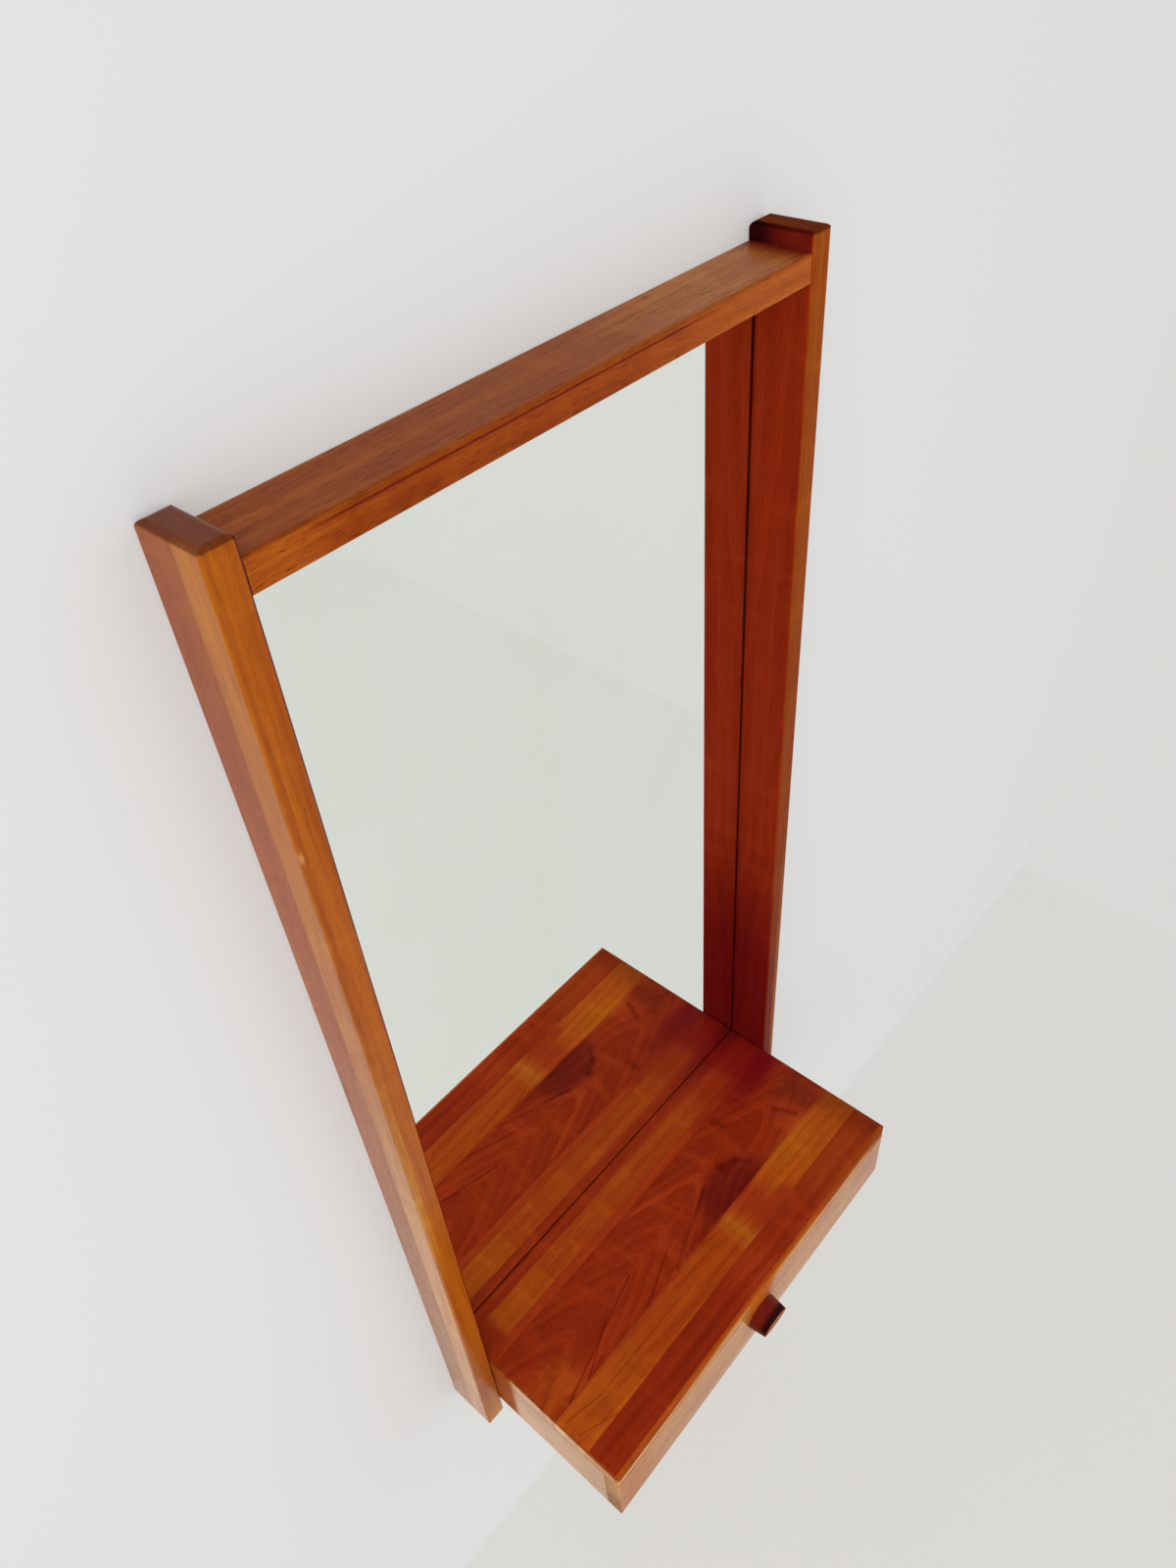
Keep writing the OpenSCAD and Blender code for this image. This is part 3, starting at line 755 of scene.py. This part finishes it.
def dress_case():
    """The drawer case below the shelf, the drawer's front and its pull."""
    for side, seed in (("case_left_side", 3.4), ("case_right_side", 5.9)):
        dress(side, hardwood(
            "lacquered_wood_" + side, side, "Y", "Y",
            [Stave(None, GOLD, figure=0.3, centre=0.3, lean=0.05)],
            streaks=0.6, gloss=0.13, reflection=1.3, edge_wear_and_light=0.2, seed=seed, relief_strength=0.15,
            patches=[(None, up_to(-0.150), None, (0.0, 0.03, 0.0), OCHRE),
                     (None, None, past(-0.757), (0.0, 0.0, 0.006), OCHRE),
                     # Painted shade and reflection of the left stile, on the side beside it
                     (None, BESIDE_STILE, None, (0.0, 0.005, 0.0), RUSSET)],
            dulled=[(None, BESIDE_STILE, None, (0.0, 0.005, 0.0), 0.5)]))
    dress("case_back", hardwood(
        "lacquered_wood_case_back", "case_back", "X", "Y",
        [Stave(None, RUSSET, figure=0.35, centre=0.1, lean=0.04)], gloss=0.3, seed=8.8))
    dress("drawer_front", hardwood(
        "lacquered_wood_drawer_front", "drawer_front", "X", "Y",
        [Stave(None, AMBER, figure=0.3, centre=-0.3, lean=0.05)],
        streaks=0.4, gloss=0.12, reflection=1.28, edge_wear_and_light=0.2, end_shade=PALE_END,
        seed=6.1, relief_strength=0.12,
        patches=[(up_to(-0.16), None, None, (0.05, 0.0, 0.0), COPPER),
                 ((-0.06, 0.16), None, past(-0.757), (0.05, 0.0, 0.005), PEACH),
                 ((-0.06, 0.10), None, up_to(-0.802), (0.05, 0.0, 0.007), GOLD),
                 (past(0.178), None, None, (0.02, 0.0, 0.0), COPPER),
                 (LEFT_END, None, None, (0.0005, 0.0, 0.0), GOLD),
                 (LEFT_END, None, up_to(-0.778), (0.0005, 0.0, 0.015), BRONZE),
                 # Painted reflection: where the pull hides the room's reflection, the front shows
                 # orange instead of sheen
                 (ROUND_PULL, None, ABOVE_PULL, (0.010, 0.0, 0.010), MARIGOLD)],
        dulled=[(ROUND_PULL, None, ABOVE_PULL, (0.010, 0.0, 0.010), 0.3),
                ((-0.2040, -0.17), None, None, (0.04, 0.0, 0.0), 0.25)]))
    dress("drawer_pull", hardwood(
        "lacquered_wood_pull", "drawer_pull", "X", "Y",
        [Stave(None, GARNET, figure=0.3, centre=-0.2, lean=0.08)],
        gap=0.003, gloss=0.13, end_shade=PLAIN_END, edge_wear_and_light=0.15, seed=9.3,
        # Painted shade: the front part of the pull's top is nearly black
        patches=[(None, PULL_FRONT, None, (0.0, 0.0030, 0.0), EBONY),
                 # Painted highlight: the left end of the pull is lighter and browner
                 (up_to(-0.0205), None, None, (0.0014, 0.0, 0.0), COFFEE),
                 # Painted sheen low on the pull's front face
                 (None, up_to(-0.2093), up_to(-0.768), (0.0, 0.0002, 0.0015), BRONZE)],
        dulled=[(None, PULL_FRONT, None, (0.0, 0.0030, 0.0), 0.5)]))


def dress_drawer():
    """The pale hardwood drawer box, its runners and the dowels."""
    grains = {"drawer_left_side": "Y", "drawer_right_side": "Y", "drawer_back": "X",
              "left_runner": "Y", "right_runner": "Y"}
    for index, (piece, grain) in enumerate(grains.items()):
        dress(piece, plain_wood("pale_wood_" + piece, piece, grain, PALE_WOOD, PALE_WOOD_LATE,
                                seed=index * 1.7))
    for index, piece in enumerate(("rail_dowels", "shelf_dowels", "case_back_dowels")):
        dress(piece, plain_wood("dowel_wood_" + piece, piece, "X", RAMIN, RAMIN_LATE,
                                gap=0.0025, seed=index * 2.3))


# ---------------------------------------------------------------- boards, glass and metal
BIRCH = linear(222, 198, 160)
BIRCH_LATE = linear(200, 168, 124)
BIRCH_FLECK = linear(150, 108, 70)
PALE_PLY = linear(206, 176, 134)
DARK_PLY = linear(140, 100, 64)
PRESSED_BROWN = linear(126, 88, 58)
PRESSED_DARK = linear(114, 78, 51)
PRESSED_FIBRE = linear(158, 118, 82)
PRESSED_STAIN = linear(94, 62, 42)
PRESSED_EDGE = linear(170, 132, 96)
SILVER = linear(250, 255, 250)
SMEARED_SILVER = linear(248, 253, 247)
DUST = linear(200, 200, 198)
BACKING_PAINT = linear(112, 118, 124)
BACKING_SHADE = linear(94, 100, 106)
RABBET_REFLECTION = linear(60, 14, 12)
GLASS_EDGE = linear(96, 138, 118)
BRASS = linear(196, 160, 96)
DULL_BRASS = linear(138, 104, 58)
ZINC = linear(188, 182, 160)
DULL_ZINC = linear(136, 124, 96)
STEEL = linear(150, 148, 144)
DULL_STEEL = linear(92, 86, 80)

# The width of the painted dark reflection along the rim of the mirror, and the number of plies in
# plywood
RIM_REFLECTION_WIDTH = 0.0045
PLY_COUNT = 3

# How often a feature repeats per metre on X, Y and Z
PEELED_GRAIN = (9.0, 42.0, 42.0)
PEELED_FLECKS = (260.0, 900.0, 900.0)
BOARD_MOTTLE = (150.0, 150.0, 150.0)
BOARD_FIBRES = (700.0, 700.0, 240.0)
BOARD_STAINS = (6.0, 6.0, 4.0)
GLASS_SMEARS = (5.0, 5.0, 3.0)
GLASS_DUST = (420.0, 420.0, 420.0)
GLASS_WAVES = (1.6, 1.6, 1.1)
BACKING_CLOUDS = (90.0, 90.0, 60.0)
METAL_PATCHES = (90.0, 90.0, 90.0)
METAL_SCRATCHES = (400.0, 400.0, 40.0)
METAL_SPECKS = (900.0, 900.0, 900.0)


def plywood(name, piece):
    """Birch plywood that lies flat: a pale rotary-cut face, with its plies on the edges."""
    s = Shader(name)
    low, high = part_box(piece)
    z = s.split(s.place)[2]
    facing_up = s.split(s.normal)[2]
    face = s.noise(s.place, PEELED_GRAIN, detail=4.0, roughness=0.55, distortion=1.2)
    bands = s.math("FRACT", s.math("MULTIPLY", face, 7.0))
    flecks = s.fade(s.noise(s.place, PEELED_FLECKS, detail=1.0), 0.62, 0.72)
    colour = s.mix(s.fade(bands, 0.3, 0.9), BIRCH, BIRCH_LATE)
    colour = s.cover(colour, BIRCH_FLECK, flecks, 0.4)
    two_plies = (high[2] - low[2]) * 2 / PLY_COUNT
    ply = s.math("FRACT", s.math("DIVIDE", s.math("SUBTRACT", z, low[2]), two_plies))
    plies = s.mix(s.fade(ply, 0.48, 0.52), PALE_PLY, DARK_PLY)
    on_edge = s.fade(s.math("ABSOLUTE", facing_up), 0.6, 0.3)
    colour = s.mix(on_edge, colour, plies)
    roughness = s.fade(face, 0.3, 0.7, 0.5, 0.68)
    return s.finish(Base_Color=colour, Roughness=roughness, IOR=1.4,
                    Normal=s.bump(s.math("ADD", face, flecks), 0.25, 0.0002))


def hardboard(name, piece):
    """Pressed brown board: smooth, mottled, with loose fibres."""
    s = Shader(name)
    low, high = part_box(piece)
    mottle = s.noise(s.place, BOARD_MOTTLE, detail=5.0, roughness=0.65)
    fibres = s.noise(s.place, BOARD_FIBRES, detail=3.0, roughness=0.7, distortion=2.0)
    stain = s.noise(s.place, BOARD_STAINS, detail=3.0)
    edge = edge_distance(s, low, high)
    colour = s.mix(s.fade(mottle, 0.3, 0.7), PRESSED_BROWN, PRESSED_DARK)
    colour = s.cover(colour, PRESSED_FIBRE, s.fade(fibres, 0.55, 0.72), 0.6)
    colour = s.cover(colour, PRESSED_STAIN, s.fade(stain, 0.5, 0.75), 0.3)
    colour = s.cover(colour, PRESSED_EDGE, s.fade(edge, 0.004, 0.0003), 0.5)
    roughness = s.fade(mottle, 0.3, 0.7, 0.42, 0.62)
    return s.finish(Base_Color=colour, Roughness=roughness, IOR=1.45,
                    Normal=s.bump(s.math("ADD", mottle, fibres), 0.3, 0.0003))


def painted_rim_reflection(s, x, z):
    """1 where the silvering gets a painted reflection of the dark, shaded inside of the rabbet, as
    the thick glass would show it.
    """
    stile_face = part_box("right_stile")[0][0]
    rail_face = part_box("top_rail")[0][2]
    shelf_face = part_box("shelf_board")[1][2]
    from_stiles = s.math("SUBTRACT", stile_face, s.math("ABSOLUTE", x))
    from_rail = s.math("SUBTRACT", rail_face, z)
    from_shelf = s.math("SUBTRACT", z, shelf_face)
    nearest = s.math("MINIMUM", from_stiles, s.math("MINIMUM", from_rail, from_shelf))
    return s.fade(nearest, RIM_REFLECTION_WIDTH, RIM_REFLECTION_WIDTH * 0.45)


def mirror_glass(name):
    """Silvered glass: mirror in front, green edges and grey backing paint behind."""
    s = Shader(name)
    facing_wall = s.split(s.normal)[1]
    x, _, z = s.split(s.place)
    front = s.fade(facing_wall, -0.5, -0.9)
    back = s.fade(facing_wall, 0.5, 0.9)
    smear = s.noise(s.place, GLASS_SMEARS, detail=5.0, roughness=0.6, distortion=0.8)
    dust = s.fade(s.noise(s.place, GLASS_DUST, detail=1.0), 0.7, 0.8)
    paint = s.noise(s.place, BACKING_CLOUDS, detail=4.0)
    silver = s.mix(s.fade(smear, 0.4, 0.7), SILVER, SMEARED_SILVER)
    silver = s.cover(silver, DUST, dust, 0.06)
    # Painted reflection: a dark band along the rim, where the thick glass would show the shaded
    # rabbet
    silver = s.cover(silver, RABBET_REFLECTION, painted_rim_reflection(s, x, z), 0.9)
    backing = s.mix(s.fade(paint, 0.35, 0.65), BACKING_PAINT, BACKING_SHADE)
    colour = s.mix(front, GLASS_EDGE, silver)
    colour = s.mix(back, colour, backing)
    shine = s.math("ADD", s.fade(smear, 0.45, 0.8, 0.004, 0.02), s.math("MULTIPLY", dust, 0.04))
    roughness = s.math("ADD", s.math("MULTIPLY", front, shine),
                       s.math("MULTIPLY", s.math("SUBTRACT", 1.0, front), 0.35))
    waviness = s.noise(s.place, GLASS_WAVES, detail=1.0)
    return s.finish(Base_Color=colour, Metallic=front, Roughness=roughness, IOR=1.5,
                    Normal=s.bump(waviness, 0.05, 0.0004))


def metal(name, bright, dull, roughness):
    """A plated metal, dulled in patches, with fine scratches."""
    s = Shader(name)
    patch = s.noise(s.place, METAL_PATCHES, detail=5.0, roughness=0.65)
    scratches = s.noise(s.place, METAL_SCRATCHES, detail=3.0, roughness=0.7)
    specks = s.fade(s.noise(s.place, METAL_SPECKS), 0.6, 0.72)
    colour = s.mix(s.fade(patch, 0.4, 0.68), bright, dull)
    colour = s.cover(colour, dull, s.fade(scratches, 0.5, 0.75), 0.3)
    colour = s.cover(colour, scaled(dull, 0.45), specks, 0.5)
    shine = s.fade(patch, 0.3, 0.75, roughness, roughness + 0.25)
    shine = s.math("ADD", shine, s.math("MULTIPLY", specks, 0.2))
    return s.finish(Base_Color=colour, Metallic=1.0, Roughness=shine, IOR=1.5,
                    Normal=s.bump(s.math("ADD", scratches, patch), 0.2, 0.0001))


def dress_sheets_and_metal():
    """The glass, the boards behind and below, and the fasteners."""
    dress("mirror_glass", mirror_glass("silvered_glass"))
    dress("backing_panel", hardboard("pressed_board", "backing_panel"))
    for piece in ("case_bottom", "drawer_bottom"):
        dress(piece, plywood("birch_plywood_" + piece, piece))
    brass = metal("dulled_brass", BRASS, DULL_BRASS, 0.32)
    zinc = metal("yellowed_zinc", ZINC, DULL_ZINC, 0.34)
    for piece in ("left_hanger_plate", "right_hanger_plate"):
        dress(piece, brass)
    for piece in ("hanger_screws", "stile_screws", "runner_screws", "pull_screws"):
        dress(piece, zinc)
    dress("glazing_pins", metal("dark_steel", STEEL, DULL_STEEL, 0.3))


# ---------------------------------------------------------------- room
# Where its panels stand, how brightly they glow, what share of them glows and how they are
# painted, then the even light of the world, and the lamp
FLOOR_Z = -1.24
WALL_Y = 0.0006
SIDE_WALL_X = 1.11
ROOM_REACH = 6.0
PANEL_LEVEL = 0.95
WALL_GLOW = 0.4
FLOOR_GLOW = 0.25
WALL_PAINT = linear(232, 232, 231)
SIDE_WALL_PAINT = linear(231, 230, 228)
FLOOR_PAINT = linear(231, 230, 227)
PLASTER = (3.0, 3.0, 3.0)
WORLD_COLOUR = linear(226, 226, 225)
WORLD_LEVEL = 1.03
LAMP_PLACE = Vector((-1.7, -1.5, 0.5))
LAMP_TARGET = Vector((0.0, 0.0, -0.4))
LAMP_SIZE = 1.6
LAMP_POWER = 14.0


def one_sided(name, colour, glow):
    """A matt wall seen only from its front. Light passes through it, so the back stays lit.

    glow is the share of its brightness that doesn't depend on the light, for softer shadows.
    """
    s = Shader(name)
    plaster = s.noise(s.place, PLASTER, detail=4.0, roughness=0.6)
    tint = s.cover(colour, scaled(colour, 0.985), s.fade(plaster, 0.35, 0.7), 0.25)
    matt = s.add("ShaderNodeBsdfDiffuse")
    s.set(matt.inputs["Color"], tint)
    even = s.add("ShaderNodeEmission")
    s.set(even.inputs["Color"], tint)
    s.set(even.inputs["Strength"], PANEL_LEVEL)
    blended = s.blend_surfaces(glow, matt.outputs[0], even.outputs[0])
    clear = s.add("ShaderNodeBsdfTransparent")
    path = s.add("ShaderNodeLightPath")
    seen = s.math("MAXIMUM", path.outputs["Is Camera Ray"], path.outputs["Is Glossy Ray"])
    seen = s.math("MAXIMUM", seen, path.outputs["Is Transmission Ray"])
    side = s.add("ShaderNodeNewGeometry")
    in_front = s.math("SUBTRACT", 1.0, side.outputs["Backfacing"])
    visible = s.math("MULTIPLY", seen, in_front)
    return s.end_in(s.blend_surfaces(visible, clear.outputs[0], blended))


def panel(name, corners, material):
    """A flat stage panel through four corners, with its front where they run anticlockwise."""
    mesh = bpy.data.meshes.new(name)
    mesh.from_pydata(corners, [], [(0, 1, 2, 3)])
    mesh.materials.append(material)
    thing = bpy.data.objects.new(name, mesh)
    bpy.context.scene.collection.objects.link(thing)


def build_room():
    """The wall behind, the floor, and the side wall on the right."""
    left = -ROOM_REACH
    front = -ROOM_REACH
    top = ROOM_REACH
    right = SIDE_WALL_X
    panel("room_wall", [(left, WALL_Y, FLOOR_Z), (right, WALL_Y, FLOOR_Z),
                        (right, WALL_Y, top), (left, WALL_Y, top)],
          one_sided("matt_wall", WALL_PAINT, WALL_GLOW))
    panel("room_floor", [(left, front, FLOOR_Z), (right, front, FLOOR_Z),
                         (right, WALL_Y, FLOOR_Z), (left, WALL_Y, FLOOR_Z)],
          one_sided("matt_floor", FLOOR_PAINT, FLOOR_GLOW))
    panel("room_side_wall", [(right, WALL_Y, FLOOR_Z), (right, front, FLOOR_Z),
                             (right, front, top), (right, WALL_Y, top)],
          one_sided("matt_side_wall", SIDE_WALL_PAINT, FLOOR_GLOW))


def build_world():
    """A pale, even light all round."""
    world = bpy.data.worlds.new("pale_room")
    bpy.context.scene.world = world
    world.use_nodes = True
    tree = world.node_tree
    tree.nodes.clear()
    background = tree.nodes.new("ShaderNodeBackground")
    background.inputs["Color"].default_value = WORLD_COLOUR
    background.inputs["Strength"].default_value = WORLD_LEVEL
    output = tree.nodes.new("ShaderNodeOutputWorld")
    tree.links.new(background.outputs[0], output.inputs[0])


def place_lamp():
    """A large square lamp, like a window on the left, that mirrors and lacquer don't show."""
    lamp = bpy.data.lights.new("soft_window", "AREA")
    lamp.size = LAMP_SIZE
    lamp.energy = LAMP_POWER
    thing = bpy.data.objects.new("soft_window", lamp)
    thing.location = LAMP_PLACE
    thing.rotation_euler = (LAMP_TARGET - LAMP_PLACE).to_track_quat("-Z", "Y").to_euler()
    bpy.context.scene.collection.objects.link(thing)
    thing.visible_glossy = False


# ---------------------------------------------------------------- camera
# Fitted to the edges of the object in the photograph, with its focal length in pixels
IMAGE_WIDTH = 1200
IMAGE_HEIGHT = 1600
FOCAL_PIXELS = 1176.98
SENSOR = 36.0
CAMERA_PLACE = Vector((-0.40817, -0.42778, 0.31064))
CAMERA_YAW = math.radians(45.42)
CAMERA_PITCH = math.radians(42.2996)
CAMERA_ROLL = math.radians(-5.0643)


def place_camera():
    """The camera where the photograph was taken, from its yaw, pitch and roll."""
    forward = Vector((math.sin(CAMERA_YAW) * math.cos(CAMERA_PITCH),
                      math.cos(CAMERA_YAW) * math.cos(CAMERA_PITCH),
                      -math.sin(CAMERA_PITCH)))
    level_right = Vector((math.cos(CAMERA_YAW), -math.sin(CAMERA_YAW), 0.0))
    level_up = level_right.cross(forward)
    right = math.cos(CAMERA_ROLL) * level_right + math.sin(CAMERA_ROLL) * level_up
    up = right.cross(forward)
    camera = bpy.data.cameras.new("camera")
    camera.sensor_fit = "AUTO"
    camera.sensor_width = SENSOR
    camera.lens = FOCAL_PIXELS * SENSOR / max(IMAGE_WIDTH, IMAGE_HEIGHT)
    camera.clip_start = 0.01
    camera.clip_end = 50.0
    thing = bpy.data.objects.new("camera", camera)
    turn = Matrix((right, up, -forward)).transposed().to_4x4()
    thing.matrix_world = Matrix.Translation(CAMERA_PLACE) @ turn
    bpy.context.scene.collection.objects.link(thing)
    bpy.context.scene.camera = thing


dress_frame()
dress_shelf()
dress_case()
dress_drawer()
dress_sheets_and_metal()
build_room()
build_world()
place_lamp()
place_camera()
bpy.context.scene.view_settings.view_transform = "Standard"
